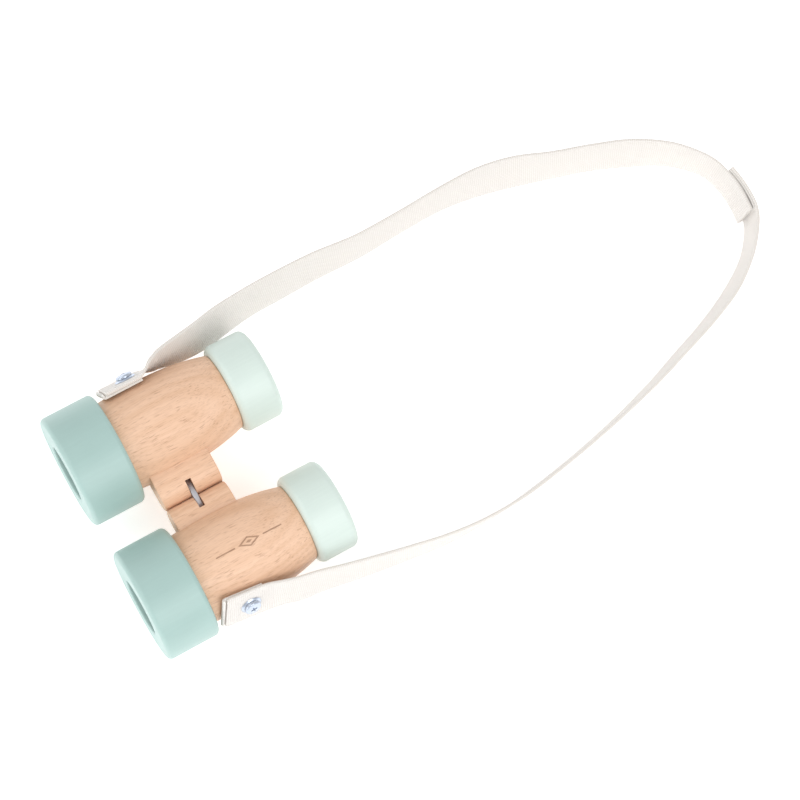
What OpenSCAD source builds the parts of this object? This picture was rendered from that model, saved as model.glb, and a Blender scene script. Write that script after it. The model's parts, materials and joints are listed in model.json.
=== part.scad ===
/* [Barrels] */
// Length of one barrel with both of its rings
barrel_len = 93; // [85:1:110]
// Distance between the two barrel axes with the hinge flat
barrel_gap = 64; // [63:1:70]
// Radius of a barrel at its widest point
barrel_r = 21; // [20.5:0.1:21.5]
// Radius of the hole that is drilled through each barrel
bore_r = 11.5; // [9:0.5:12]

/* [Rings] */
// Radius of the painted ring at the objective end
front_ring_r = 25; // [24:0.5:27]
// Length of the objective ring
front_ring_len = 24; // [20:1:26]
// Radius of the opening in the objective ring
front_hole_r = 12.3; // [10:0.1:14]
// Radius of the painted ring at the eyepiece end
rear_ring_r = 20; // [18.5:0.5:22]
// Length of the eyepiece ring
rear_ring_len = 18.5; // [16:0.5:20]
// Radius of the opening in the eyepiece ring
eye_hole_r = 11; // [8:0.5:12]

/* [Hinge] */
// Length of the hinge blocks along the barrels
block_len = 27; // [20:1:30]
// Thickness of the hinge blocks
block_t = 15; // [13:0.5:16]
// Thickness of the metal link plate
link_t = 2.2; // [1.5:0.1:3]
// Radius of the hinge pins
pin_r = 1.25; // [1:0.05:1.5]

/* [Strap] */
// Width of the webbing
strap_w = 20; // [15:1:25]
// Thickness of the webbing
strap_t = 1.5; // [1:0.1:2]
// Angle of the left strap tab above the side of its barrel
left_tab_lift = 20; // [15:1:35]
// Angle of the right strap tab above the side of its barrel
right_tab_lift = 22; // [15:1:35]
// How far the right tab is turned about its screw, rear end down
right_tab_turn = 12; // [0:1:15]

/* [Hidden] */

FN = 96;
glue = 0.05;                  // gap of a glued round joint
run = 0.05;                   // running gap of a hinge pin in its block

// Ring profiles
front_round = 2;              // rounding of the objective ring's edges
rear_round = 2.6;             // rounding of the eyepiece ring's edges
shoulder_y = 8;               // depth of the objective opening down to the lens
lens_t = 3.5;                 // rim thickness of the objective lens
front_spigot_r = 17;
rear_spigot_r = 14;
rear_y = barrel_len - rear_ring_len;
eye_shoulder_y = barrel_len - 4.5;
eye_lens_t = 2.5;
front_end_y = shoulder_y + lens_t;
rear_end_y = eye_shoulder_y - eye_lens_t;

// Bulge of the turned wood: widest at bulge_y, slimmer towards both rings
bulge_y = 42;
front_drop = 1;
rear_drop = 4.2;
function wood_r(y) = y < bulge_y
    ? barrel_r - front_drop * pow((bulge_y - y) / (bulge_y - front_ring_len), 2)
    : barrel_r - rear_drop * pow((y - bulge_y) / (rear_y - bulge_y), 2.3);

// Hinge
axis_x = barrel_gap / 2;
block_y = bulge_y - block_len / 2;
nose_gap = 0.2;
nose_r = block_t / 2;
pin_x = nose_r + nose_gap / 2;
seat = 18;                    // distance of the block's seat from the barrel axis
hinge_x = 1.7;                // the left block is longer, so the hinge lies right of the middle
slot_r = 10.6;
slot_drop = 1;                // the saw for the slot went in lower than the pins
slot_t = link_t + 0.4;
link_end_r = 2.7;
link_mid_r = 4.5;             // half height of the link plate in its middle
pin_start = block_y + 1.7;
pin_len = block_len - 2.4;
dowel_r = 2.5;
dowel_len = 8.6;
dowel_step = 9;
dowel_x = 11.2;               // where each dowel starts inside its block
function pin_at(side) = hinge_x + side * pin_x;

// Strap fastening
tab_y = 27;
tab_len = 25;
tab_t = 2.8;
tab_gap = 0.05;
tab_r = barrel_r + tab_gap;   // radius at which the tab's inner face lies
screw_y = 39.5;
screw_r = 1.5;
screw_depth = 7.5;
head_r = 3.7;
head_t = 2.1;
washer_r = 4.6;
washer_t = 0.6;

// Resting attitude: both ring edges of each barrel touch the ground
edge_dy = rear_y + rear_ring_len - rear_round - (front_ring_len - front_round);
edge_dz = (front_ring_r - front_round) - (rear_ring_r - rear_round);
pitch = atan(edge_dz / edge_dy) - asin((rear_round - front_round) / norm([edge_dy, edge_dz]));
axis_z = front_round + (front_ring_r - front_round) * cos(pitch)
    + (front_ring_len - front_round) * sin(pitch);
y_low = front_round * cos(pitch) - (front_ring_r - front_round) * sin(pitch) - front_round;
y_high = (barrel_len - rear_round) * cos(pitch) + (rear_ring_r - rear_round) * sin(pitch)
    + rear_round;
mid_y = (y_low + y_high) / 2;

// Carries barrel coordinates (y along the barrels from the front face) to the ground
module at_rest() {
    translate([0, -mid_y, axis_z]) rotate([-pitch, 0, 0]) children();
}
// side is -1 for the left barrel and 1 for the right one
module on_barrel(side) {
    at_rest() translate([side * axis_x, 0, 0]) children();
}
module along_y(y0) {
    translate([0, y0, 0]) rotate([-90, 0, 0]) children();
}
// Turns +Z to the direction in which a strap tab faces, along the axis of its screw
module tab_frame(side) {
    on_barrel(side) translate([0, screw_y, 0])
        rotate([0, side * (90 - (side > 0 ? right_tab_lift : left_tab_lift)), 0])
            rotate([0, 0, side > 0 ? -right_tab_turn : 0]) children();
}

// Half outline of a ring with rounded outer edges, as [radius, place along the barrel]
function edge_arc(r, y, round_r, a0, a1) = [for (i = [0 : 8])
    let (a = a0 + (a1 - a0) * i / 8) [r + round_r * cos(a), y + round_r * sin(a)]];
module ring_outline(r, len, round_r, hole) {
    polygon(concat([[hole, 0]], edge_arc(r - round_r, round_r, round_r, -90, 0),
        edge_arc(r - round_r, len - round_r, round_r, 0, 90), [[hole, len]]));
}

module barrel(side) color([0.92, 0.77, 0.64]) {
    steps = 36;
    wood_len = rear_y - front_ring_len;
    difference() {
        on_barrel(side) along_y(0) rotate_extrude($fn = FN) polygon(concat(
            [[bore_r, front_end_y], [front_spigot_r, front_end_y], [front_spigot_r, front_ring_len]],
            [for (i = [0 : steps]) let (y = front_ring_len + wood_len * i / steps) [wood_r(y), y]],
            [[rear_spigot_r, rear_y], [rear_spigot_r, rear_end_y], [bore_r, rear_end_y]]));
        on_barrel(side) translate([side > 0 ? -barrel_r - 1 : seat - glue, block_y - glue,
            -nose_r - glue]) cube([barrel_r + 1 - seat + glue, block_len + 2 * glue,
                block_t + 2 * glue]);
        dowel_group(side, dowel_r);
        tab_frame(side) translate([0, 0, tab_r + tab_t + washer_t - screw_depth - 3])
            cylinder(r = screw_r, h = screw_depth + 3, $fn = 32);
    }
}

module objective_ring(side) color([0.71, 0.80, 0.78]) {
    difference() {
        on_barrel(side) along_y(0) rotate_extrude($fn = FN)
            ring_outline(front_ring_r, front_ring_len, front_round, front_hole_r);
        on_barrel(side) along_y(shoulder_y)
            cylinder(r = front_spigot_r + glue, h = front_ring_len, $fn = FN);
    }
}

module eyepiece_ring(side) color([0.87, 0.91, 0.89]) {
    difference() {
        on_barrel(side) along_y(rear_y) rotate_extrude($fn = FN)
            ring_outline(rear_ring_r, rear_ring_len, rear_round, eye_hole_r);
        on_barrel(side) along_y(rear_y - 1)
            cylinder(r = rear_spigot_r + glue, h = eye_shoulder_y - rear_y + 1, $fn = FN);
    }
}

// A lens with one domed face; the dome rises by dome inside radius dome_r
module lens(r, t, dome_r, dome) {
    ball = (dome_r * dome_r + dome * dome) / (2 * dome);
    cylinder(r = r, h = t, $fn = FN);
    intersection() {
        translate([0, 0, t + dome - ball]) sphere(r = ball, $fn = FN);
        translate([0, 0, t / 2]) cylinder(r = dome_r, h = t + dome, $fn = FN);
    }
}

module objective_lens(side) color([0.85, 0.93, 0.96]) on_barrel(side)
    along_y(shoulder_y) lens(front_spigot_r - 0.2, lens_t, 11, 1.5);

module eye_lens(side) color([0.85, 0.93, 0.96]) on_barrel(side)
    translate([0, eye_shoulder_y, 0]) rotate([90, 0, 0])
        lens(rear_spigot_r - 0.2, eye_lens_t, 10.6, 1.2);

module hinge_block(side) color([0.93, 0.79, 0.66]) {
    nose = pin_at(side);
    root = side * (axis_x - seat);
    difference() {
        at_rest() translate([0, block_y + block_len, 0]) rotate([90, 0, 0])
            linear_extrude(block_len) union() {
                intersection() {
                    translate([nose, 0]) circle(r = nose_r, $fn = FN);
                    translate([side > 0 ? nose - nose_r : nose, -nose_r])
                        square([nose_r, block_t]);
                }
                translate([min(nose, root), -nose_r]) square([abs(root - nose), block_t]);
            }
        at_rest() translate([hinge_x, 0, -slot_drop]) along_y(bulge_y - slot_t / 2)
            cylinder(r = slot_r, h = slot_t, $fn = FN);
        at_rest() translate([nose, 0, 0]) along_y(pin_start - 0.2)
            cylinder(r = pin_r + run, h = block_len, $fn = 48);
        dowel_group(side, dowel_r);
    }
}

module dowel_group(side, r) {
    for (y = [-1, 1])
        at_rest() translate([side * dowel_x, bulge_y + y * dowel_step, 0])
            rotate([0, side * 90, 0]) cylinder(r = r, h = dowel_len, $fn = 48);
}
module block_dowels(side) color([0.85, 0.70, 0.52]) dowel_group(side, dowel_r - 0.02);

module hinge_link() color([0.60, 0.60, 0.62]) {
    rise = link_mid_r - link_end_r;
    arc_r = (pin_x * pin_x + rise * rise) / (2 * rise);
    at_rest() translate([hinge_x, bulge_y + link_t / 2, 0]) rotate([90, 0, 0])
        linear_extrude(link_t) difference() {
            union() {
                intersection() {
                    translate([0, link_mid_r - arc_r]) circle(r = arc_r, $fn = FN);
                    translate([0, arc_r - link_mid_r]) circle(r = arc_r, $fn = FN);
                    square([2 * pin_x, 4 * link_mid_r], center = true);
                }
                for (s = [-1, 1]) translate([s * pin_x, 0]) circle(r = link_end_r, $fn = FN);
            }
            for (s = [-1, 1]) translate([s * pin_x, 0]) circle(r = pin_r + 0.01, $fn = 48);
        }
}

module hinge_pin(side) color([0.66, 0.66, 0.68]) at_rest()
    translate([pin_at(side), 0, 0]) along_y(pin_start) cylinder(r = pin_r, h = pin_len, $fn = 48);

module strap_tab(side) color([0.95, 0.94, 0.92]) {
    difference() {
        tab_frame(side) translate([-strap_w / 2, tab_y - screw_y, tab_r])
            cube([strap_w, tab_len, tab_t]);
        tab_frame(side) cylinder(r = screw_r + 0.05, h = tab_r + 5, $fn = 32);
    }
}

module tab_washer(side) color([0.75, 0.79, 0.85]) tab_frame(side)
    translate([0, 0, tab_r + tab_t]) difference() {
        cylinder(r = washer_r, h = washer_t, $fn = 64);
        translate([0, 0, -1]) cylinder(r = screw_r + 0.2, h = washer_t + 2, $fn = 32);
    }

// Pan-head screw with a cross recess
module tab_screw(side) color([0.70, 0.75, 0.82]) {
    base = tab_r + tab_t + washer_t;
    ball = (head_r * head_r + head_t * head_t) / (2 * head_t) + 1;
    tab_frame(side) translate([0, 0, base]) difference() {
        union() {
            intersection() {
                cylinder(r = head_r, h = head_t, $fn = 64);
                translate([0, 0, head_t - ball]) sphere(r = ball, $fn = 64);
            }
            translate([0, 0, -screw_depth]) cylinder(r = screw_r - 0.02, h = screw_depth + 0.5, $fn = 32);
        }
        for (a = [0, 90]) rotate([0, 0, a + 20])
            translate([-0.45, -2, head_t - 1.1]) cube([0.9, 4, 2]);
    }
}

// Strap routes: [x, y, height of the lower edge, outward lean in degrees] of the webbing's
// middle line, from each tab round to the closure. The webbing stands on its edge.
left_route = [
    [-55.2, 7.8, 19.5, 3], [-56, 12, 17.5, 11], [-57, 21, 13, 20], [-58.8, 31, 8, 25],
    [-61.6, 42, 3, 26], [-63.5, 55, 0, 23], [-63.8, 71, 0, 23], [-63.6, 90, 0, 20],
    [-62.2, 110, 0, 15], [-62.8, 132, 0, 12], [-63.3, 152, 0, 14], [-62, 170, 0, 22],
    [-58.5, 186, 0, 25], [-53, 202, 0, 19], [-47.5, 219, 0, 18], [-41, 235, 0, 19],
    [-32, 250, 0, 13], [-20.5, 260.6, 0, 8], [-11, 264.2, 0, 7], [-2, 265.2, 0, 7],
    [8, 264.4, 0, 7]];
right_route = [
    [55.8, 9, 19, -21], [57.2, 15, 16.5, -21], [58.4, 25, 12.5, -18], [60.4, 36, 8, -15],
    [62.4, 48, 4, -12], [64.6, 62, 0, -8], [67.6, 80, 0, -3], [68.6, 98, 0, 3],
    [67.6, 119, 0, 6], [63.8, 144, 0, 6], [58.8, 168, 0, 7], [53, 190, 0, 9],
    [47, 208, 0, 11], [41.2, 225, 0, 12], [34.2, 241, 0, 13], [25.6, 254, 0, 9],
    [17, 262.3, 0, 7], [8.4, 267.2, 0, 7], [-2, 268.1, 0, 7], [-11.8, 267, 0, 7]];
closure_rings = 9;
tape_t = 0.4;
hook_gap = 0.05;              // gap between each tape and the webbing it is sewn to
loop_gap = 0.2;

// A smooth curve through the points of a route
function route_at(p, s) = let (n = len(p) - 1, i = min(floor(s), n - 1), u = s - i,
    a = p[max(i - 1, 0)], b = p[i], c = p[i + 1], d = p[min(i + 2, n)])
    b + u * ((c - a) / 2 + u * ((a - 2.5 * b + 2 * c - 0.5 * d) + u * (1.5 * (b - c) + (d - a) / 2)));
function unit(v) = v / norm(v);
// Cross-section of a band: half width hw, from face f0 to face f1, with cut corners
function band(hw, f0, f1) = let (c = min(0.4, (f1 - f0) / 4))
    [[-hw + c, f0], [hw - c, f0], [hw, f0 + c], [hw, f1 - c],
     [hw - c, f1], [-hw + c, f1], [-hw, f1 - c], [-hw, f0 + c]];
// One ring of the band: out is the level direction away from the loop's inside
function strap_ring(p, s, hw, f0, f1, side) = let (
    q = route_at(p, s), e = 0.05, n = len(p) - 1,
    t = unit(route_at(p, min(s + e, n)) - route_at(p, max(s - e, 0))),
    flat = unit([t[0], t[1], 0]), out = side * [flat[1], -flat[0], 0],
    up = [0, 0, cos(q[3])] + sin(q[3]) * out, face = cos(q[3]) * out - [0, 0, sin(q[3])],
    mid = [q[0], q[1], max(q[2], 0) + cos(q[3]) * strap_w / 2
        + abs(sin(q[3])) * strap_t / 2 + 0.05])
    [for (v = band(hw, f0, f1)) mid + v[0] * up + v[1] * face];
module strap_band(p, s0, s1, rings, hw, f0, f1, side) {
    pts = [for (i = [0 : rings - 1])
        each strap_ring(p, s0 + (s1 - s0) * i / (rings - 1), hw, f0, f1, side)];
    skin = [for (i = [0 : rings - 2], j = [0 : 7])
        let (a = i * 8 + j, b = i * 8 + (j + 1) % 8) each [[a, b, b + 8], [a, b + 8, a + 8]]];
    ends = [[7, 6, 5, 4, 3, 2, 1, 0], [for (j = [0 : 7]) (rings - 1) * 8 + j]];
    faces = concat(skin, ends);
    polyhedron(pts, side > 0 ? faces : [for (f = faces) [for (k = [len(f) - 1 : -1 : 0]) f[k]]]);
}
module strap(route, side) color([0.95, 0.94, 0.92])
    strap_band(route, 0, len(route) - 1, 40, strap_w / 2, -strap_t / 2, strap_t / 2, side);
module hook_patch() color([0.93, 0.92, 0.89])
    strap_band(left_route, 18, 20, closure_rings, strap_w / 2 - 1,
        strap_t / 2 + hook_gap, strap_t / 2 + hook_gap + tape_t, -1);
module loop_patch() color([0.90, 0.89, 0.86])
    strap_band(right_route, 17, 19, closure_rings, strap_w / 2 - 1,
        -strap_t / 2 - loop_gap - tape_t, -strap_t / 2 - loop_gap, 1);

barrel(-1);  // left_barrel
barrel(1);  // right_barrel
objective_ring(-1);  // left_objective_ring
objective_ring(1);  // right_objective_ring
eyepiece_ring(-1);  // left_eyepiece_ring
eyepiece_ring(1);  // right_eyepiece_ring
objective_lens(-1);  // left_objective_lens
objective_lens(1);  // right_objective_lens
eye_lens(-1);  // left_eye_lens
eye_lens(1);  // right_eye_lens
hinge_block(-1);  // left_hinge_block
hinge_block(1);  // right_hinge_block
block_dowels(-1);  // left_block_dowels
block_dowels(1);  // right_block_dowels
hinge_link();
hinge_pin(-1);  // left_hinge_pin
hinge_pin(1);  // right_hinge_pin
strap_tab(-1);  // left_strap_tab
strap_tab(1);  // right_strap_tab
tab_washer(-1);  // left_tab_washer
tab_washer(1);  // right_tab_washer
tab_screw(-1);  // left_tab_screw
tab_screw(1);  // right_tab_screw
strap(left_route, -1);  // left_strap
strap(right_route, 1);  // right_strap
hook_patch();
loop_patch();
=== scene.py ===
"""Wooden toy binoculars on a pale table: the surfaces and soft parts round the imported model."""

import json
import math

import bmesh
import bpy
from mathutils import Matrix, Vector
from mathutils.geometry import interpolate_bezier


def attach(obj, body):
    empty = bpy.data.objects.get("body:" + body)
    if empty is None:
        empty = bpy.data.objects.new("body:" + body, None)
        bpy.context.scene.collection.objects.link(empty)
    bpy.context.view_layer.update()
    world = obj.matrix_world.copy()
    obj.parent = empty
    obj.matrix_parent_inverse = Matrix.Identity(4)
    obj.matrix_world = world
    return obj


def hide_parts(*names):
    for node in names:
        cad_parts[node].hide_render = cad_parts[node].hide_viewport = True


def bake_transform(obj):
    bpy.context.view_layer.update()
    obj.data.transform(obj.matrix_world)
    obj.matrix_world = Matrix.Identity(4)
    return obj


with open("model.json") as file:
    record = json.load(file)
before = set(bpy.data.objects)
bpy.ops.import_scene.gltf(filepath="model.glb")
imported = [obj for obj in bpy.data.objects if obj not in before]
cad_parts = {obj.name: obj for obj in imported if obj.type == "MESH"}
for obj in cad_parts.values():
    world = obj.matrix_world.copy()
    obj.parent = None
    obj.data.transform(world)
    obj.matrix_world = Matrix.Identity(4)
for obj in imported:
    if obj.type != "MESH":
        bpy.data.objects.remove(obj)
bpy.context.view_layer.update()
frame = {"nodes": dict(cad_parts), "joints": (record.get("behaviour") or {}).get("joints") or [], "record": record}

bl_info = {
    "name": "Wooden Toy Binoculars",
    "version": (1, 0, 0),
    "blender": (4, 5, 0),
    "location": "View3D > Sidebar > Binoculars",
    "description": "Builds turned barrels, painted rings, hinge, webbing strap and stage",
    "category": "Object",
}

MM = 0.001
SIDES = {"left": -1, "right": 1}
MOUNTS = {mount["name"]: mount for mount in frame["record"]["mounts"]}


def barrel_place(side):
    """Carries barrel coordinates (y along the barrel from its front face) to the row frame."""
    mount = MOUNTS[side + "_objective_socket"]
    out = Vector(mount["axis"]).normalized()
    mouth = Vector(mount["pos_m"]) + out * mount["dims"]["length_mm"] * MM / 2
    along, across = -out, Vector((1, 0, 0))
    turn = Matrix((across, along, across.cross(along))).transposed().to_4x4()
    return Matrix.Translation(mouth) @ turn


PLACES = {side: barrel_place(side) for side in SIDES}
HINGE_PLACE = Matrix.Translation((PLACES["left"].translation + PLACES["right"].translation) / 2)
HINGE_PLACE = HINGE_PLACE @ PLACES["left"].to_3x3().to_4x4()
AXIS_X = abs(PLACES["left"].translation.x)
RING_R = MOUNTS["left_objective_rim"]["dims"]["r_mm"]
HOLE_R = MOUNTS["left_objective_socket"]["dims"]["r_mm"]
HOLE_DEPTH = MOUNTS["left_objective_socket"]["dims"]["length_mm"]
PIN_AT = {side: frame["joints"][i]["pos_m"][0] / MM for i, side in enumerate(SIDES)}
HINGE_X = sum(PIN_AT.values()) / 2

# Places along the barrel and sizes of the hinge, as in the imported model, in millimetres
RING_LEN, REAR_Y, END_Y = 24.0, 74.5, 93.0
EYE_RING_R, EYE_HOLE_R, EYE_DEPTH = 20.0, 11.0, 4.5
BULGE_Y, BULGE_R = 42.0, 21.0
BLOCK_LEN, BLOCK_R = 27.0, 7.5
SLOT_R, SLOT_DROP, SLOT_T, LINK_T = 10.6, 1.0, 2.6, 2.2
TAB_Y, TAB_LEN, SCREW_Y = 27.0, 25.0, 39.5
TAB_LIFT = {"left": 20.0, "right": 22.0}
TAB_TURN = {"left": 0.0, "right": 12.0}

# Strap routes: x, y, height of the lower edge (mm) and outward lean (degrees)
LEFT_ROUTE = [
    (-55.2, 7.8, 19.5, 3), (-56, 12, 17.5, 11), (-57, 21, 13, 20), (-58.8, 31, 8, 25),
    (-61.6, 42, 3, 26), (-63.5, 55, 0, 23), (-63.8, 71, 0, 23), (-63.6, 90, 0, 20),
    (-62.2, 110, 0, 15), (-62.8, 132, 0, 12), (-63.3, 152, 0, 14), (-62, 170, 0, 22),
    (-58.5, 186, 0, 25), (-53, 202, 0, 19), (-47.5, 219, 0, 18), (-41, 235, 0, 19),
    (-32, 250, 0, 13), (-20.5, 260.6, 0, 8), (-11, 264.2, 0, 7), (-2, 265.2, 0, 7),
    (8, 264.4, 0, 7),
]
RIGHT_ROUTE = [
    (55.8, 9, 19, -21), (57.2, 15, 16.5, -21), (58.4, 25, 12.5, -18), (60.4, 36, 8, -15),
    (62.4, 48, 4, -12), (64.6, 62, 0, -8), (67.6, 80, 0, -3), (68.6, 98, 0, 3),
    (67.6, 119, 0, 6), (63.8, 144, 0, 6), (58.8, 168, 0, 7), (53, 190, 0, 9),
    (47, 208, 0, 11), (41.2, 225, 0, 12), (34.2, 241, 0, 13), (25.6, 254, 0, 9),
    (17, 262.3, 0, 7), (8.4, 267.2, 0, 7), (-2, 268.1, 0, 7), (-11.8, 267, 0, 7),
]
ROUTES = {"left": LEFT_ROUTE, "right": RIGHT_ROUTE}


def srgb(red, green, blue):
    """A colour given as 0 to 255 values, as the shaders want it."""
    def linear(value):
        value /= 255
        return value / 12.92 if value <= 0.04045 else ((value + 0.055) / 1.055) ** 2.4
    return (linear(red), linear(green), linear(blue))


def colour_property(name, description, default):
    return bpy.props.FloatVectorProperty(
        name=name, description=description, default=default, size=3, subtype="COLOR",
        min=0.0, max=1.0)


def length_property(name, description, default):
    return bpy.props.FloatProperty(
        name=name, description=description, default=default, unit="LENGTH", subtype="DISTANCE")


class BinocularSizes(bpy.types.PropertyGroup):
    strap_width: length_property("Strap width", "Width of the webbing", 20 * MM)
    strap_thickness: length_property("Strap thickness", "Thickness of the webbing", 1.5 * MM)
    thread: length_property("Thread pitch", "Distance between two warp threads", 0.9 * MM)
    edge: length_property("Wood edge", "Rounding of the hinge blocks' edges", 0.5 * MM)
    washer_radius: length_property("Washer radius", "Radius of the cup washers", 4.6 * MM)
    head_radius: length_property("Screw head radius", "Radius of the screw heads", 3.6 * MM)


class BinocularColours(bpy.types.PropertyGroup):
    beech: colour_property("Beech", "Light parts of the wood", srgb(234, 196, 167))
    beech_dark: colour_property("Beech figure", "Darker bands of the wood", srgb(216, 173, 138))
    fleck: colour_property("Fleck", "Short pores along the grain", srgb(150, 104, 74))
    mint: colour_property("Mint paint", "Paint of the large rings", srgb(160, 188, 183))
    pale_mint: colour_property("Pale paint", "Paint of the small rings", srgb(205, 219, 212))
    webbing: colour_property("Webbing", "Cotton of the strap", srgb(239, 235, 231))
    # Painted shade: the darker colour of the shaded gaps between the threads
    thread_shade: colour_property("Thread shade", "Gaps between threads", srgb(214, 207, 198))
    steel: colour_property("Link steel", "Grey link and pins", srgb(205, 205, 210))
    zinc: colour_property("Zinc", "Plated screws and washers", srgb(206, 216, 232))


class BinocularStage(bpy.types.PropertyGroup):
    lens: bpy.props.FloatProperty(
        name="Lens", description="Focal length of the camera", default=112.5, unit="CAMERA")
    place: bpy.props.FloatVectorProperty(
        name="Camera place", description="Where the camera stands", size=3,
        subtype="TRANSLATION", unit="LENGTH", default=(0.1716, -0.0486, 1.0554))
    turn: bpy.props.FloatVectorProperty(
        name="Camera turn", description="How the camera is turned", size=3, subtype="EULER",
        unit="ROTATION", default=tuple(math.radians(a) for a in (11.558, -2.227, 60.347)))


# Shader expressions

class Value:
    """A node's output that takes part in Python expressions."""

    def __init__(self, look, socket):
        self.look, self.socket = look, socket

    def maths(self, operation, *others, swap=False):
        terms = [self, *others]
        if swap:
            terms.reverse()
        return self.look.node("ShaderNodeMath", {"operation": operation}, terms)

    def __add__(self, other):
        return self.maths("ADD", other)

    def __sub__(self, other):
        return self.maths("SUBTRACT", other)

    def __rsub__(self, other):
        return self.maths("SUBTRACT", other, swap=True)

    def __mul__(self, other):
        return self.maths("MULTIPLY", other)

    def __truediv__(self, other):
        return self.maths("DIVIDE", other)

    __radd__ = __add__
    __rmul__ = __mul__

    def sine(self):
        return self.maths("SINE")

    def size(self):
        return self.maths("ABSOLUTE")

    def step(self, low, high):
        """0 below low and 1 above high, smooth between them."""
        settings = {"interpolation_type": "SMOOTHSTEP"}
        return self.look.node("ShaderNodeMapRange", settings, {0: self, 1: low, 2: high})


class Look:
    """A material whose Principled shader takes constants on its own sockets."""

    def __init__(self, name, **constants):
        self.material = bpy.data.materials.new(name)
        self.material.use_nodes = True
        self.tree = self.material.node_tree
        self.shader = self.tree.nodes["Principled BSDF"]
        for key, value in constants.items():
            self.shader.inputs[key.replace("_", " ")].default_value = value

    def node(self, kind, settings=None, inputs=(), output=0):
        made = self.tree.nodes.new(kind)
        for key, value in (settings or {}).items():
            setattr(made, key, value)
        pairs = inputs.items() if isinstance(inputs, dict) else enumerate(inputs)
        for key, value in pairs:
            if isinstance(value, Value):
                self.tree.links.new(value.socket, made.inputs[key])
            else:
                made.inputs[key].default_value = value
        return Value(self, made.outputs[output])

    def coordinates(self, place):
        """Object coordinates turned into those of a piece, in metres."""
        raw = self.node("ShaderNodeTexCoord", output="Object")
        return self.node("ShaderNodeMapping", {"vector_type": "TEXTURE"}, {
            "Vector": raw, "Location": place.translation, "Rotation": place.to_euler()})

    def parts(self, vector):
        made = self.node("ShaderNodeSeparateXYZ", inputs=[vector])
        return [Value(self, out) for out in made.socket.node.outputs]

    def vector(self, x, y, z):
        return self.node("ShaderNodeCombineXYZ", inputs=[x, y, z])

    def noise(self, vector, scale, detail=2.0, roughness=0.5):
        return self.node("ShaderNodeTexNoise", inputs={
            "Vector": vector, "Scale": scale, "Detail": detail, "Roughness": roughness})

    def blend(self, mask, low, high):
        """The colour low where mask is 0 and high where it is 1."""
        low, high = [(*c, 1) if isinstance(c, tuple) else c for c in (low, high)]
        return self.node("ShaderNodeMix", {"data_type": "RGBA"}, {0: mask, 6: low, 7: high}, 2)

    def feed(self, socket, value):
        self.tree.links.new(value.socket, self.shader.inputs[socket])

    def bump(self, height, depth):
        normal = self.node("ShaderNodeBump", inputs={
            "Height": height, "Distance": depth, "Strength": 1.0})
        self.feed("Normal", normal)


LOOKS = {}


def look(name, maker, *details):
    """A material made once and kept by name."""
    if name not in LOOKS:
        LOOKS[name] = maker(name, *details)
    return LOOKS[name].material


def settings_of(group):
    return getattr(bpy.context.scene, group)


def colours(*names):
    group = settings_of("binocular_colours")
    return [tuple(getattr(group, name)) for name in names]


def make_beech(name, place, heart, motif=False):
    """Sanded beech: soft figure round a heart line, short dark pores along the barrel."""
    light, dark, fleck = colours("beech", "beech_dark", "fleck")
    wood = Look(name, Coat_Weight=0.12, Coat_Roughness=0.35)
    spot = wood.coordinates(place)
    x, y, z = wood.parts(spot)
    long_grain = wood.vector(x, y * 0.07, z)
    wander = wood.noise(long_grain, 60, 3)
    from_heart = wood.node("ShaderNodeVectorMath", {"operation": "LENGTH"}, [
        wood.vector(x - heart[0] * MM, 0.0, z - heart[1] * MM)], 1)
    rings = (from_heart * 2600 + wander * 9 + y * 25).sine() * 0.5 + 0.5
    figure = rings * 0.22 + wood.noise(long_grain, 300, 4, 0.6) * 0.8 - 0.15
    base = wood.blend(figure.step(0.0, 1.0), light, dark)
    pore_field = wood.noise(wood.vector(x, y * 0.07, z), 2900, 1)
    patches = wood.noise(spot, 120, 2)
    pores = pore_field.step(0.58, 0.70) * (patches.step(0.3, 0.7) * 0.7 + 0.3)
    base = wood.blend(pores * 0.45, base, fleck)
    fine = wood.noise(wood.vector(x, y * 0.05, z), 3600, 2)
    base = wood.blend(fine.step(0.45, 0.75) * 0.2, base, fleck)
    height = fine * 0.35 - pores * 0.6
    if motif:
        mark = engraving(wood, x, y, z)
        base = wood.blend(mark * 0.65, base, srgb(140, 98, 72))
        height = height - mark * 3
    wood.feed("Base Color", base)
    wood.feed("Roughness", fine * 0.12 + wander * 0.1 + 0.40)
    wood.bump(height, 0.00006)
    return wood


def engraving(wood, x, y, z):
    """A plain burnt ornament on top of the barrel: a long diamond between two thin lines."""
    along = (y - 50 * MM).size()
    across = x.size()
    upper_side = z.step(0, 2 * MM)
    shape = along * 0.45 + across
    diamond = shape.step(1.5 * MM, 1.7 * MM) - shape.step(2.1 * MM, 2.3 * MM)
    inner = 1 - shape.step(0.5 * MM, 0.7 * MM)
    reach = (along.step(6.4 * MM, 6.6 * MM)) - along.step(15 * MM, 15.4 * MM)
    line = (1 - across.step(0.18 * MM, 0.32 * MM)) * reach
    return (diamond + inner + line) * upper_side


def make_paint(name, place, colour_name):
    """Satin paint on turned wood, with the grain faint under it and soft, lighter rubbed specks."""
    tone, = colours(colour_name)
    paint = Look(name, Coat_Weight=0.1, Coat_Roughness=0.3)
    spot = paint.coordinates(place)
    x, y, z = paint.parts(spot)
    cloud = paint.noise(spot, 55, 3)
    grain = paint.noise(paint.vector(x, y * 0.08, z), 900, 3)
    speckle = paint.noise(spot, 2600, 2)
    pale = tuple(min(1.0, c * 1.08 + 0.015) for c in tone)
    deep = tuple(c * 0.94 for c in tone)
    base = paint.blend(cloud * 0.6 + grain * 0.4, deep, pale)
    rubbed = speckle.step(0.62, 0.75) * grain.step(0.5, 0.7) * 0.25
    base = paint.blend(rubbed, base, tuple(min(1.0, c * 1.25 + 0.03) for c in tone))
    paint.feed("Base Color", base)
    paint.feed("Roughness", cloud * 0.12 + speckle * 0.1 + 0.34)
    paint.bump(grain * 0.6 + speckle * 0.4, 0.00004)
    return paint


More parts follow.
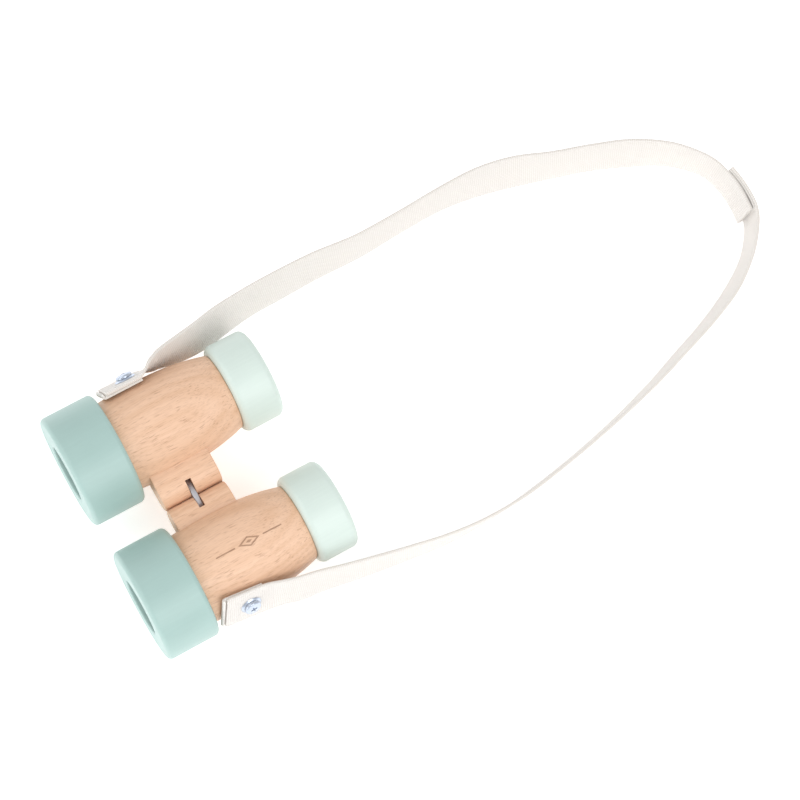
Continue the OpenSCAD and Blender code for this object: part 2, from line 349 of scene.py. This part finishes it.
def make_webbing(name):
    """Plain-woven cotton: warp ribs along the strap crossed by weft, from the UV map in metres, with painted shade
    in the gaps between threads.
    """
    cotton, shaded_gaps = colours("webbing", "thread_shade")
    pitch = settings_of("binocular_sizes").thread
    cloth = Look(name, Sheen_Weight=0.35, Sheen_Roughness=0.5)
    flat = cloth.node("ShaderNodeUVMap", {"uv_map": "Weave"})
    u, v, _ = cloth.parts(flat)
    fuzz = cloth.noise(flat, 2200, 3, 0.7)
    u = u + (fuzz - 0.5) * (0.18 * MM)
    columns, rows = u * (math.pi / pitch), v * (math.pi / pitch)
    over = (columns.sine() * rows.sine()).step(-0.35, 0.35)
    warp = columns.sine().size() * over
    weft = rows.sine().size() * (1 - over)
    height = warp + weft * 0.85
    # Painted shade: the low gaps between threads take the darker colour
    shade = height.step(0.05, 0.75) * 0.8 + fuzz * 0.25
    base = cloth.blend(shade, shaded_gaps, cotton)
    wear = cloth.noise(flat, 70, 2)
    base = cloth.blend(wear.step(0.4, 0.8) * 0.3, base, tuple(c * 0.93 for c in cotton))
    cloth.feed("Base Color", base)
    cloth.feed("Roughness", fuzz * 0.1 + 0.82)
    cloth.bump(height + fuzz * 0.5, 0.00022)
    return cloth


def make_fastener_tape(name, hooked):
    """Hook or loop tape: rows of stiff hooks, or a brushed pile, with painted shade in its low places."""
    cotton, shaded_gaps = colours("webbing", "thread_shade")
    tape = Look(name, Sheen_Weight=0.5)
    flat = tape.node("ShaderNodeUVMap", {"uv_map": "Weave"})
    u, v, _ = tape.parts(flat)
    fuzz = tape.noise(flat, 3000, 4, 0.7)
    if hooked:
        rib = math.pi / (0.55 * MM)
        height = (u * rib).sine().size() * (v * rib).sine().size() + fuzz * 0.3
    else:
        height = tape.noise(flat, 1400, 3, 0.8) + fuzz
    # Painted shade: the low places of the tape take the darker colour
    tape.feed("Base Color", tape.blend(height.step(0.2, 1.0), shaded_gaps, cotton))
    tape.feed("Roughness", fuzz * 0.2 + 0.7)
    tape.bump(height, 0.0002)
    return tape


def make_metal(name, colour_name, roughness, scratch):
    """Plated or tumbled metal with fine scratches and a little clouding."""
    tone, = colours(colour_name)
    metal = Look(name, Metallic=1.0)
    raw = metal.node("ShaderNodeTexCoord", output="Object")
    x, y, z = metal.parts(raw)
    cloud = metal.noise(raw, 700, 3)
    lines = metal.noise(metal.vector(x * 0.2, y, z), 4200, 2)
    dark = tuple(c * 0.72 for c in tone)
    metal.feed("Base Color", metal.blend(cloud * 0.7 + lines * 0.3, dark, tone))
    metal.feed("Roughness", cloud * 0.15 + lines * 0.12 + roughness)
    metal.bump(lines * scratch + cloud * 0.5, 0.00003)
    return metal


def make_lens(name):
    """Clear moulded acrylic with the faintest haze."""
    clear = Look(name, Transmission_Weight=1.0, IOR=1.49, Coat_Weight=0.3)
    raw = clear.node("ShaderNodeTexCoord", output="Object")
    haze = clear.noise(raw, 400, 3)
    clear.feed("Base Color", clear.blend(haze, (0.93, 0.97, 0.98), (0.98, 1.0, 1.0)))
    clear.feed("Roughness", haze.step(0.5, 0.9) * 0.05 + 0.02)
    return clear


# Modelling helpers

def arc(centre_r, centre_y, radius, start, end, steps=10):
    """Points of a rounded corner in a (radius, y) outline, in millimetres."""
    angles = [math.radians(start + (end - start) * i / steps) for i in range(steps + 1)]
    return [(centre_r + radius * math.cos(a), centre_y + radius * math.sin(a)) for a in angles]


def turned(outline, steps=144, closed=True):
    """A solid of revolution round the y axis from an outline in millimetres."""
    bm = bmesh.new()
    points = [bm.verts.new((r * MM, y * MM, 0)) for r, y in outline]
    pairs = list(zip(points, points[1:]))
    if closed:
        pairs.append((points[-1], points[0]))
    edges = [bm.edges.new(pair) for pair in pairs]
    bmesh.ops.spin(
        bm, geom=points + edges, cent=(0, 0, 0), axis=(0, 1, 0), dvec=(0, 0, 0),
        angle=2 * math.pi, steps=steps, use_merge=True, use_duplicate=False)
    bmesh.ops.remove_doubles(bm, verts=bm.verts, dist=1e-7)
    bmesh.ops.recalc_face_normals(bm, faces=bm.faces)
    return bm


def plate(outline, y0, thickness, bevel, segments=3):
    """An outline in the x-z plane, in millimetres, made into a plate along y with soft edges."""
    bm = bmesh.new()
    face = bm.faces.new([bm.verts.new((x * MM, y0 * MM, z * MM)) for x, z in outline])
    made = bmesh.ops.extrude_face_region(bm, geom=[face])
    moved = [g for g in made["geom"] if isinstance(g, bmesh.types.BMVert)]
    bmesh.ops.translate(bm, verts=moved, vec=(0, thickness * MM, 0))
    bmesh.ops.recalc_face_normals(bm, faces=bm.faces)
    if bevel:
        sharp = [e for e in bm.edges if e.calc_face_angle(0) > math.radians(50)]
        bmesh.ops.bevel(
            bm, geom=sharp, offset=bevel, offset_type="OFFSET", segments=segments,
            profile=0.5, affect="EDGES", material=-1, clamp_overlap=True)
    return bm


def place_mesh(bm, name, place=None, sharp=38):
    """An object at the origin whose mesh is bm, carried by the place matrix."""
    if place is not None:
        bmesh.ops.transform(bm, matrix=place, verts=bm.verts)
    mesh = bpy.data.meshes.new(name)
    bm.to_mesh(mesh)
    bm.free()
    mesh.polygons.foreach_set("use_smooth", [True] * len(mesh.polygons))
    mesh.set_sharp_from_angle(angle=math.radians(sharp))
    obj = bpy.data.objects.new(name, mesh)
    bpy.context.scene.collection.objects.link(obj)
    return obj


def settle(obj, material, body, slot, *nodes):
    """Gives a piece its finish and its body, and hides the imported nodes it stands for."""
    obj.data.materials.append(material)
    if body:
        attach(obj, body)
    if nodes:
        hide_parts(*nodes)
    return obj


def cut(obj, cutter):
    """Takes the cutter's shape out of obj and removes the cutter."""
    modifier = obj.modifiers.new("Cut", "BOOLEAN")
    modifier.operation, modifier.solver, modifier.object = "DIFFERENCE", "EXACT", cutter
    graph = bpy.context.evaluated_depsgraph_get()
    mesh = bpy.data.meshes.new_from_object(obj.evaluated_get(graph))
    obj.modifiers.remove(modifier)
    old, obj.data = obj.data, mesh
    bpy.data.meshes.remove(old)
    bpy.data.objects.remove(cutter)


def wood_radius(y):
    """Radius of the turned wood at y, widest at the bulge."""
    if y < BULGE_Y:
        return BULGE_R - ((BULGE_Y - y) / (BULGE_Y - RING_LEN)) ** 2
    return BULGE_R - 4.2 * ((y - BULGE_Y) / (REAR_Y - BULGE_Y)) ** 2.3


# Operators

class BINOCULARS_OT_barrels(bpy.types.Operator):
    """Turn the two beech barrels"""
    bl_idname = "binoculars.barrels"
    bl_label = "Barrels"

    def execute(self, context):
        bore, front, rear = 11.5, (17.0, HOLE_DEPTH + 3.5), (14.0, END_Y - EYE_DEPTH - 2.5)
        steps = 60
        groove = 0.4
        span = REAR_Y - RING_LEN - 1.5 * groove
        swell = [RING_LEN + groove / 2 + span * i / steps for i in range(steps + 1)]
        outline = [(bore, front[1]), (front[0], front[1]), (front[0], RING_LEN)]
        outline += [(wood_radius(RING_LEN) - groove / 2, RING_LEN)]
        outline += [(wood_radius(y), y) for y in swell]
        outline += [(wood_radius(REAR_Y) - groove, REAR_Y)]
        outline += [(rear[0], REAR_Y), rear, (bore, rear[1])]
        for side, sign in SIDES.items():
            obj = place_mesh(turned(outline), side + "_turned_barrel", PLACES[side])
            heart = (sign * 14, -38) if side == "left" else (22, -44)
            wood = look(side + "_beech", make_beech, PLACES[side], heart, side == "right")
            settle(obj, wood, side + "_half", "beech", side + "_barrel")
        return {"FINISHED"}


class BINOCULARS_OT_rings(bpy.types.Operator):
    """Turn and paint the four rings"""
    bl_idname = "binoculars.rings"
    bl_label = "Painted rings"

    def execute(self, context):
        for side in SIDES:
            self.ring(side, "objective", self.objective_outline(), "mint", "mint_paint")
            self.ring(side, "eyepiece", self.eyepiece_outline(), "pale_mint", "pale_mint_paint")
        return {"FINISHED"}

    def objective_outline(self):
        corner, lip, spigot = 2.2, 0.8, 17.02
        return (arc(HOLE_R + lip, lip, lip, 180, 270, 6)
                + arc(RING_R - corner, corner, corner, -90, 0)
                + arc(RING_R - corner, RING_LEN - corner, corner, 0, 90)
                + [(spigot, RING_LEN), (spigot, HOLE_DEPTH), (HOLE_R, HOLE_DEPTH)])

    def eyepiece_outline(self):
        corner, lip, spigot = 2.9, 1.2, 14.02
        floor = END_Y - EYE_DEPTH
        return (arc(EYE_RING_R - corner, REAR_Y + corner, corner, -90, 0)
                + arc(EYE_RING_R - corner, END_Y - corner, corner, 0, 90)
                + arc(EYE_HOLE_R + lip, END_Y - lip, lip, 90, 180, 6)
                + [(EYE_HOLE_R, floor), (spigot, floor), (spigot, REAR_Y)])

    def ring(self, side, kind, outline, colour_name, slot):
        obj = place_mesh(turned(outline), f"{side}_{kind}_painted_ring", PLACES[side])
        paint = look(f"{side}_{slot}", make_paint, PLACES[side], colour_name)
        settle(obj, paint, side + "_half", slot, f"{side}_{kind}_ring")


class BINOCULARS_OT_lenses(bpy.types.Operator):
    """Mould the four lenses, each with one domed face"""
    bl_idname = "binoculars.lenses"
    bl_label = "Lenses"

    def execute(self, context):
        for side in SIDES:
            self.lens(side, "objective", HOLE_DEPTH, 1, 16.8, 3.5, 11.0, 1.5)
            self.lens(side, "eye", END_Y - EYE_DEPTH, -1, 13.8, 2.5, 10.6, 1.2)
        return {"FINISHED"}

    def lens(self, side, kind, y0, way, rim, thick, dome_r, dome):
        ball = (dome_r ** 2 + dome ** 2) / (2 * dome)
        tilt = math.degrees(math.asin(dome_r / ball))
        edge = 0.3
        outline = [(0, 0), (rim - edge, 0), (rim, edge), (rim, thick - edge),
                   (rim - edge, thick), (dome_r, thick)]
        outline += arc(0, thick + dome - ball, ball, 90 - tilt, 90, 12)[1:]
        outline = [(r, y0 + way * y) for r, y in outline]
        obj = place_mesh(turned(outline, 96, False), f"{side}_{kind}_domed_lens", PLACES[side])
        settle(obj, look("acrylic", make_lens), side + "_half", "clear_lens",
               f"{side}_{kind}_lens")


class BINOCULARS_OT_hinge(bpy.types.Operator):
    """Shape the slotted hinge blocks and the link plate, and finish the imported pins and dowels"""
    bl_idname = "binoculars.hinge"
    bl_label = "Hinge"

    def execute(self, context):
        for side, sign in SIDES.items():
            self.block(side, sign)
        self.link()
        steel = look("tumbled_steel", make_metal, "steel", 0.42, 0.6)
        dowel = look("dowel_beech", make_beech, HINGE_PLACE, (30, -30))
        for side in SIDES:
            self.finish_node(side + "_hinge_pin", steel)
            self.finish_node(side + "_block_dowels", dowel)
        return {"FINISHED"}

    def finish_node(self, name, material):
        mesh = frame["nodes"][name].data
        mesh.materials.clear()
        mesh.materials.append(material)

    def block(self, side, sign):
        nose, root = sign * PIN_AT[side], AXIS_X / MM - 17.5
        round_part = arc(nose, 0, BLOCK_R, 270, 90, 40)
        outline = [(sign * x, z) for x, z in round_part + [(root, BLOCK_R), (root, -BLOCK_R)]]
        start = BULGE_Y - BLOCK_LEN / 2
        edge = settings_of("binocular_sizes").edge
        obj = place_mesh(plate(outline, start, BLOCK_LEN, edge), side + "_slotted_block",
                         HINGE_PLACE)
        disc = arc(HINGE_X, -SLOT_DROP, SLOT_R, 0, 360, 96)[:-1]
        slot = plate(disc, BULGE_Y - SLOT_T / 2, SLOT_T, 0)
        cut(obj, place_mesh(slot, "slot_cutter", HINGE_PLACE))
        obj.data.polygons.foreach_set("use_smooth", [True] * len(obj.data.polygons))
        obj.data.set_sharp_from_angle(angle=math.radians(30))
        heart = (sign * 40, -16) if side == "left" else (18, 26)
        wood = look(side + "_block_beech", make_beech, HINGE_PLACE, heart)
        settle(obj, wood, side + "_half", "beech", side + "_hinge_block")

    def link(self):
        end_r, mid_r = 2.7, 4.5
        pin, rise = PIN_AT["right"] - HINGE_X, mid_r - end_r
        ball = (pin ** 2 + rise ** 2) / (2 * rise)
        tilt = math.degrees(math.asin(pin / ball))
        upper = arc(0, mid_r - ball, ball, 90 - tilt, 90 + tilt, 24)
        left = arc(-pin, 0, end_r, 105, 255, 16)
        lower = arc(0, ball - mid_r, ball, 270 - tilt, 270 + tilt, 24)
        right = arc(pin, 0, end_r, -75, 75, 16)
        outline = [(x + HINGE_X, z) for x, z in upper + left[1:-1] + lower + right[1:-1]]
        bm = plate(outline, BULGE_Y - LINK_T / 2, LINK_T, 0.25 * MM)
        obj = place_mesh(bm, "link_plate", HINGE_PLACE)
        steel = look("tumbled_steel", make_metal, "steel", 0.42, 0.6)
        settle(obj, steel, "hinge", "link_steel", "hinge_link")


# Webbing

def route_at(points, place):
    """A smooth curve through the points of a route, at place (0 is the first point)."""
    last = len(points) - 1
    index = min(int(place), last - 1)
    u = place - index
    a, b, c, d = [Vector(points[min(max(index + k, 0), last)]) for k in (-1, 0, 1, 2)]
    rise = a - 2.5 * b + 2 * c - 0.5 * d
    return b + u * ((c - a) / 2 + u * (rise + u * (1.5 * (b - c) + (d - a) / 2)))


def strap_station(points, place, sign):
    """Middle, up and face directions of the webbing at a place on its route, in metres."""
    sizes = settings_of("binocular_sizes")
    last, nudge = len(points) - 1, 0.05
    here = route_at(points, place)
    ahead = route_at(points, min(place + nudge, last)) - route_at(points, max(place - nudge, 0))
    flat = Vector(ahead[:2]).normalized()
    out = Vector((sign * flat.y, -sign * flat.x, 0))
    lean = math.radians(here[3])
    up = Vector((0, 0, math.cos(lean))) + out * math.sin(lean)
    face = out * math.cos(lean) - Vector((0, 0, math.sin(lean)))
    lift = (math.cos(lean) * sizes.strap_width + abs(math.sin(lean)) * sizes.strap_thickness) / 2
    middle = Vector(here[:2]) * MM
    height = max(here[2], 0) * MM + lift + 0.05 * MM
    return Vector((middle.x, middle.y, height)), up, face


def tab_place(side):
    """Coordinates of a strap tab: x across it, y outward along the screw, z to the eyepieces."""
    lift, turn, sign = math.radians(TAB_LIFT[side]), math.radians(TAB_TURN[side]), SIDES[side]
    out = Vector((sign * math.cos(lift), 0, math.sin(lift)))
    flat_up, along = Vector((-sign * math.sin(lift), 0, math.cos(lift))), Vector((0, 1, 0))
    up = flat_up * math.cos(turn) + along * math.sin(turn)
    back = along * math.cos(turn) - flat_up * math.sin(turn)
    axes = Matrix((sign * up, out, back)).transposed().to_4x4()
    return PLACES[side] @ Matrix.Translation((0, SCREW_Y * MM, 0)) @ axes


def tab_stations(side, layer, start, end, count):
    """Stations along a strap tab on the barrel's side, at a height of layer above the wood."""
    place = tab_place(side)
    across, out, _ = place.to_3x3().transposed()
    up = across * SIDES[side]
    stations = []
    for i in range(count):
        z = start + (end - start) * i / (count - 1) - SCREW_Y
        stations.append((place @ Vector((0, (BULGE_R + layer) * MM, z * MM)), up, out))
    return stations


def bridge(before, after, count=9):
    """Stations that carry the webbing's course and twist from its tab to its free run."""
    (_, start), (end, _) = before, after
    towards = (end[0] - start[0]).length / 3
    leave = (start[0] - before[0][0]).normalized() * towards
    arrive = (after[1][0] - end[0]).normalized() * towards
    course = interpolate_bezier(
        start[0], start[0] + leave, end[0] - arrive, end[0], count + 2)[1:-1]
    stations = []
    for i, middle in enumerate(course, 1):
        share = i / (count + 1)
        share = share * share * (3 - 2 * share)
        up = start[1].lerp(end[1], share).normalized()
        face = start[2].lerp(end[2], share)
        stations.append((middle, up, (face - up * face.dot(up)).normalized()))
    return stations


def webbing(stations, half_width, low, high, columns=14):
    """A woven band through stations, between two offsets along its face, with round selvedges."""
    bm = bmesh.new()
    weave = bm.loops.layers.uv.new("Weave")
    section = []
    mid, half = (low + high) / 2, (high - low) / 2
    for i in range(columns + 1):
        across = -1 + 2 * i / columns
        section.append((across * (half_width - half), mid + half))
    for angle in (45, 0, -45):
        a = math.radians(angle)
        section.append((half_width - half + half * math.cos(a), mid + half * math.sin(a)))
    section += [(u, mid - half) for u, _ in reversed(section[:columns + 1])]
    for angle in (225, 180, 135):
        a = math.radians(angle)
        section.append((-half_width + half + half * math.cos(a), mid + half * math.sin(a)))
    first = [bm.verts.new(stations[0][0] + stations[0][1] * u + stations[0][2] * w)
             for u, w in section]
    bm.faces.new(first)
    ring, run = first, 0.0
    runs = {vert: (run, section[k][0]) for k, vert in enumerate(first)}
    for before, (middle, up, face) in zip(stations, stations[1:]):
        run += (middle - before[0]).length
        edges = [bm.edges.get((ring[k], ring[(k + 1) % len(ring)])) for k in range(len(ring))]
        made = bmesh.ops.extrude_edge_only(bm, edges=edges)["geom"]
        fresh = [g for g in made if isinstance(g, bmesh.types.BMVert)]
        partner = {}
        for vert in fresh:
            for edge in vert.link_edges:
                other = edge.other_vert(vert)
                if other in runs and other not in fresh:
                    partner[other] = vert
        ring = [partner[vert] for vert in ring]
        for k, vert in enumerate(ring):
            u, w = section[k]
            vert.co = middle + up * u + face * w
            runs[vert] = (run, u)
    bm.faces.new(list(reversed(ring)))
    for item in bm.faces:
        for loop in item.loops:
            run_here, u = runs[loop.vert]
            loop[weave].uv = (u, run_here)
    bmesh.ops.recalc_face_normals(bm, faces=bm.faces)
    return bm


class BINOCULARS_OT_straps(bpy.types.Operator):
    """Weave the two lengths of the neck strap with their folded tabs"""
    bl_idname = "binoculars.straps"
    bl_label = "Neck strap"

    def execute(self, context):
        sizes = settings_of("binocular_sizes")
        cotton = look("cotton_webbing", make_webbing)
        half, thick = sizes.strap_width / 2, sizes.strap_thickness / 2
        for side, sign in SIDES.items():
            route = ROUTES[side]
            count = (len(route) - 1) * 8
            stations = [strap_station(route, (len(route) - 1) * i / count, sign)
                        for i in range(count + 1)]
            outer = tab_stations(side, 2.05, TAB_Y + 1.2, TAB_Y + TAB_LEN - 8, 24)
            for index, width in enumerate((0.88, 0.96, 0.99)):
                middle, up, out = outer[index]
                outer[index] = middle, up * width, out
            outer += bridge(outer[-2:], stations[:2])
            strap = place_mesh(webbing(outer + stations, half, -thick, thick),
                               side + "_neck_strap", sharp=50)
            settle(strap, cotton, None, "cotton_webbing", side + "_strap")
            path = [tuple(middle) for middle, _, _ in outer + stations]
            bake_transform(strap)
            patch = "hook_tape" if side == "left" else "loop_tape"
            self.tape(side, patch, sign, half, thick)
            self.tab(side, cotton, half)
        return {"FINISHED"}

    def tape(self, side, name, sign, half, thick):
        """The closure tape on the strap's free end."""
        route = ROUTES[side]
        first = {"left": 18, "right": 17}[side]
        stations = [strap_station(route, first + 2 * i / 16, sign) for i in range(17)]
        low, high = (thick, thick + 0.55 * MM) if side == "left" else (-thick - 0.55 * MM, -thick)
        obj = place_mesh(webbing(stations, half - 1 * MM, low, high), name, sharp=50)
        tape = look(name, make_fastener_tape, side == "left")
        settle(obj, tape, "hinge", "closure_tape", name.replace("tape", "patch"))

    def tab(self, side, cotton, half):
        """The folded end of the strap: round the hem and back under against the wood."""
        layer = 0.7
        under = tab_stations(side, layer, TAB_Y + TAB_LEN - 7, TAB_Y + 1, 12)
        out = under[0][2]
        ahead = (under[-1][0] - under[0][0]).normalized()
        centre = under[-1][0] + out * 0.68 * MM
        fold = []
        for i in range(1, 9):
            a = math.pi * i / 9
            turn_out = -out * math.cos(a) + ahead * math.sin(a)
            fold.append((centre + turn_out * 0.68 * MM, under[0][1], -turn_out))
        under = [(middle, up, out) for middle, up, _ in under]
        obj = place_mesh(webbing(under + fold, half - 0.9 * MM, -0.65 * MM, 0.65 * MM),
                         side + "_folded_tab", sharp=50)
        settle(obj, cotton, side + "_half", "cotton_webbing", side + "_strap_tab")


class BINOCULARS_OT_fasteners(bpy.types.Operator):
    """Make the tab screws and their cup washers"""
    bl_idname = "binoculars.fasteners"
    bl_label = "Screws and washers"

    def execute(self, context):
        sizes = settings_of("binocular_sizes")
        zinc = look("zinc_plate", make_metal, "zinc", 0.16, 0.4)
        for side in SIDES:
            self.washer(side, tab_place(side), zinc, sizes.washer_radius / MM)
            self.screw(side, tab_place(side), zinc, sizes.head_radius / MM)
        return {"FINISHED"}

    def washer(self, side, place, zinc, radius):
        base, thick, lip = BULGE_R + 2.85, 0.7, 1.6
        outline = [(1.7, base), (radius - 0.3, base - 0.15), (radius, base + 0.1),
                   (radius - 0.2, base + 0.4), (lip + 2, base + thick + 0.1),
                   (lip + 1.6, base + thick), (1.7, base + 0.3)]
        obj = place_mesh(turned(outline, 64), side + "_cup_washer", place)
        settle(obj, zinc, side + "_half", "zinc", side + "_tab_washer")

    def screw(self, side, place, zinc, radius):
        base, height, shank = BULGE_R + 3.45, 2.0, 1.5
        outline = [(0, base - 11), (0.3, base - 10.6), (shank, base - 9), (shank, base),
                   (radius - 0.4, base), (radius, base + 0.35)]
        outline += arc(radius - 0.9, base + 0.9, 0.9, 0, 45, 6)
        dome = [(radius * 0.9 * (1 - i / 8), base + height - 0.42 * (1 - i / 8) ** 2)
                for i in range(1, 9)]
        obj = place_mesh(turned(outline + dome, 64, False), side + "_pan_screw", place)
        for quarter in (20, 110):
            self.recess(obj, place, base + height, quarter)
        obj.data.polygons.foreach_set("use_smooth", [True] * len(obj.data.polygons))
        obj.data.set_sharp_from_angle(angle=math.radians(35))
        settle(obj, zinc, side + "_half", "zinc", side + "_tab_screw")

    def recess(self, obj, place, top, angle):
        """One arm of the cross recess, narrower at its foot."""
        bm = bmesh.new()
        bmesh.ops.create_cube(bm, size=1)
        bmesh.ops.scale(bm, verts=bm.verts, vec=(4.2 * MM, 3 * MM, 0.85 * MM))
        foot = [v for v in bm.verts if v.co.y < 0]
        bmesh.ops.scale(bm, verts=foot, vec=(0.45, 1, 0.7))
        turn = Matrix.Rotation(math.radians(angle), 4, "Y")
        shift = Matrix.Translation((0, (top + 0.2) * MM, 0))
        cut(obj, place_mesh(bm, "recess_cutter", place @ shift @ turn))


class BINOCULARS_OT_stage(bpy.types.Operator):
    """Set up the table, the lights and the camera"""
    bl_idname = "binoculars.stage"
    bl_label = "Stage"

    def execute(self, context):
        scene, stage = context.scene, settings_of("binocular_stage")
        camera = bpy.data.objects.new("camera", bpy.data.cameras.new("camera"))
        camera.data.lens = stage.lens
        camera.data.clip_start, camera.data.clip_end = 0.01, 20
        camera.location, camera.rotation_euler = stage.place, stage.turn
        scene.collection.objects.link(camera)
        scene.camera = camera
        self.table(scene)
        self.light(scene, "key", (1.2, 0.3, 1.4), 1.4, 15)
        self.light(scene, "fill", (-0.9, -0.9, 1.5), 1.6, 8)
        self.light(scene, "front", (0.2, -1.6, 0.5), 1.0, 6)
        scene.world = bpy.data.worlds.new("studio")
        scene.world.use_nodes = True
        sky = scene.world.node_tree.nodes["Background"]
        sky.inputs["Color"].default_value = (1, 1, 1, 1)
        sky.inputs["Strength"].default_value = 0.72
        scene.view_settings.view_transform = "Standard"
        return {"FINISHED"}

    def table(self, scene):
        bm = bmesh.new()
        bmesh.ops.create_grid(bm, x_segments=1, y_segments=1, size=6)
        obj = place_mesh(bm, "table_top")
        # Painted light: the table glows evenly, lifting the shadows on it to white
        table = Look("white_table", Emission_Color=(1, 1, 1, 1), Emission_Strength=0.42)
        raw = table.node("ShaderNodeTexCoord", output="Object")
        cloud = table.noise(raw, 3, 2)
        table.feed("Base Color", table.blend(cloud, (0.93, 0.93, 0.93), (0.97, 0.97, 0.97)))
        table.feed("Roughness", cloud * 0.1 + 0.6)
        obj.data.materials.append(table.material)

    def light(self, scene, name, place, size, power):
        lamp = bpy.data.lights.new(name, "AREA")
        lamp.shape, lamp.size, lamp.energy = "DISK", size, power
        obj = bpy.data.objects.new(name, lamp)
        obj.location = place
        obj.rotation_euler = (Vector((0, 0.1, 0)) - obj.location).to_track_quat("-Z", "Y").to_euler()
        scene.collection.objects.link(obj)


class BINOCULARS_PT_panel(bpy.types.Panel):
    """Sizes, colours and steps of the binoculars"""
    bl_label = "Toy Binoculars"
    bl_space_type = "VIEW_3D"
    bl_region_type = "UI"
    bl_category = "Binoculars"

    def draw(self, context):
        for group in GROUPS:
            box = self.layout.box()
            settings = settings_of(group)
            for name in settings.__annotations__:
                box.prop(settings, name)
        for operator in STEPS:
            self.layout.operator(operator.bl_idname)


GROUPS = {
    "binocular_sizes": BinocularSizes,
    "binocular_colours": BinocularColours,
    "binocular_stage": BinocularStage,
}
STEPS = (
    BINOCULARS_OT_stage,
    BINOCULARS_OT_straps,
    BINOCULARS_OT_barrels,
    BINOCULARS_OT_rings,
    BINOCULARS_OT_lenses,
    BINOCULARS_OT_hinge,
    BINOCULARS_OT_fasteners,
)
CLASSES = (*GROUPS.values(), *STEPS, BINOCULARS_PT_panel)


def register():
    for item in CLASSES:
        bpy.utils.register_class(item)
    for name, group in GROUPS.items():
        setattr(bpy.types.Scene, name, bpy.props.PointerProperty(type=group))


def unregister():
    for name in GROUPS:
        delattr(bpy.types.Scene, name)
    for item in reversed(CLASSES):
        bpy.utils.unregister_class(item)


def main():
    register()
    for step in STEPS:
        group, name = step.bl_idname.split(".")
        getattr(getattr(bpy.ops, group), name)()


if __name__ == "__main__":
    main()
